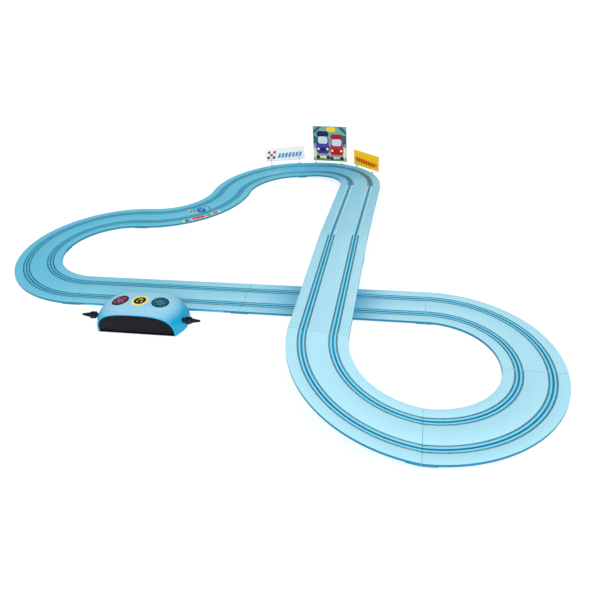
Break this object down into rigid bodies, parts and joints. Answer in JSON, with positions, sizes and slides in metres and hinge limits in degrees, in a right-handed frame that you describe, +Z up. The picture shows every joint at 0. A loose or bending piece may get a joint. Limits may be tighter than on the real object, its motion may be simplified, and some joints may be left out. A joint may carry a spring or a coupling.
{
  "type": "slot car track set",
  "caption": "Two-lane slot car track in a figure of eight with a bridge, on trestle supports, with an arched battery housing, plugs and display boards.",
  "frame": {"origin": "on the table surface, under the middle of the set's plan", "axes": "+Z up; +X along the power straight in its direction of travel; the battery housing's front and its door face -Y"},
  "size_m": [1.126, 1.1268, 0.1155],
  "materials": {
    "track_plastic": "light sky-blue moulded plastic, satin",
    "rail_steel": "drawn steel conductor strip, slightly dark",
    "support_plastic": "sky-blue moulded plastic, satin",
    "housing_plastic": "blue moulded plastic, semi-gloss",
    "black_plastic": "black moulded plastic, fine texture",
    "plug_rubber": "soft black overmould",
    "contact_steel": "nickel-plated spring steel",
    "brass": "bare brass strip",
    "cell_can": "printed jacket on a metal can",
    "circuit_board": "green circuit board",
    "clear_plastic": "translucent clear-white plastic",
    "white_card": "printed card, satin varnish",
    "picture_card": "printed card, satin varnish",
    "yellow_card": "printed card, satin varnish"
  },
  "bodies": {
    "track": {"back_curve": "track_plastic", "base_tray": "black_plastic", "bridge_back_support": "support_plastic", "bridge_front_support": "support_plastic", "bridge_straight": "track_plastic", "cell_1": "cell_can", "cell_2": "cell_can", "cell_3": "cell_can", "cell_4": "cell_can", "contact_spring_1": "contact_steel", "contact_spring_2": "contact_steel", "descent_curve": "track_plastic", "descent_straight": "track_plastic", "descent_support": "support_plastic", "feed_strip_1": "brass", "feed_strip_2": "brass", "feed_strip_3": "brass", "feed_strip_4": "brass", "housing_shell": "housing_plastic", "link_contact_plate": "contact_steel", "loop_entry_curve": "track_plastic", "loop_front_curve": "track_plastic", "low_white_sign_post_left": "clear_plastic", "low_white_sign_post_right": "clear_plastic", "negative_contact_plate": "contact_steel", "plug_socket_left": "black_plastic", "plug_socket_right": "black_plastic", "positive_contact_plate": "contact_steel", "power_rail_1": "rail_steel", "power_rail_2": "rail_steel", "power_rail_3": "rail_steel", "power_rail_4": "rail_steel", "power_straight": "track_plastic", "ramp_curve": "track_plastic", "ramp_support": "support_plastic", "return_curve": "track_plastic", "s_bend_curve": "track_plastic", "side_curve": "track_plastic", "tall_picture_sign_post_left": "clear_plastic", "tall_picture_sign_post_right": "clear_plastic", "terminal_board": "circuit_board", "tray_screw_1": "contact_steel", "tray_screw_2": "contact_steel", "tray_screw_3": "contact_steel", "tray_screw_4": "contact_steel", "underpass_straight": "track_plastic", "yellow_sign_post_left": "clear_plastic", "yellow_sign_post_right": "clear_plastic"},
    "battery_door": {"battery_door": "black_plastic"},
    "plug_left": {"plug_grip_left": "plug_rubber", "plug_pin_left": "brass"},
    "plug_right": {"plug_grip_right": "plug_rubber", "plug_pin_right": "brass"},
    "low_white_sign": {"low_white_sign": "white_card"},
    "tall_picture_sign": {"tall_picture_sign": "picture_card"},
    "yellow_sign": {"yellow_sign": "yellow_card"}
  },
  "joints": [
    {"name": "battery_door_hinge", "type": "hinge", "parent": "track", "child": "battery_door", "pos_m": [-0.171, -0.30111, 0.0046], "axis": [1, 0, 0], "range_deg": [0, 85]},
    {"name": "plug_left_pull", "type": "slide", "parent": "track", "child": "plug_left", "axis": [-1, 0, 0], "range_m": [0, 0.035]},
    {"name": "plug_right_pull", "type": "slide", "parent": "track", "child": "plug_right", "axis": [1, 0, 0], "range_m": [0, 0.035]},
    {"name": "low_white_sign_lift", "type": "slide", "parent": "track", "child": "low_white_sign", "axis": [0, 0, 1], "range_m": [0, 0.018]},
    {"name": "tall_picture_sign_lift", "type": "slide", "parent": "track", "child": "tall_picture_sign", "axis": [0, 0, 1], "range_m": [0, 0.018]},
    {"name": "yellow_sign_lift", "type": "slide", "parent": "track", "child": "yellow_sign", "axis": [0, 0, 1], "range_m": [0, 0.018]}
  ]
}
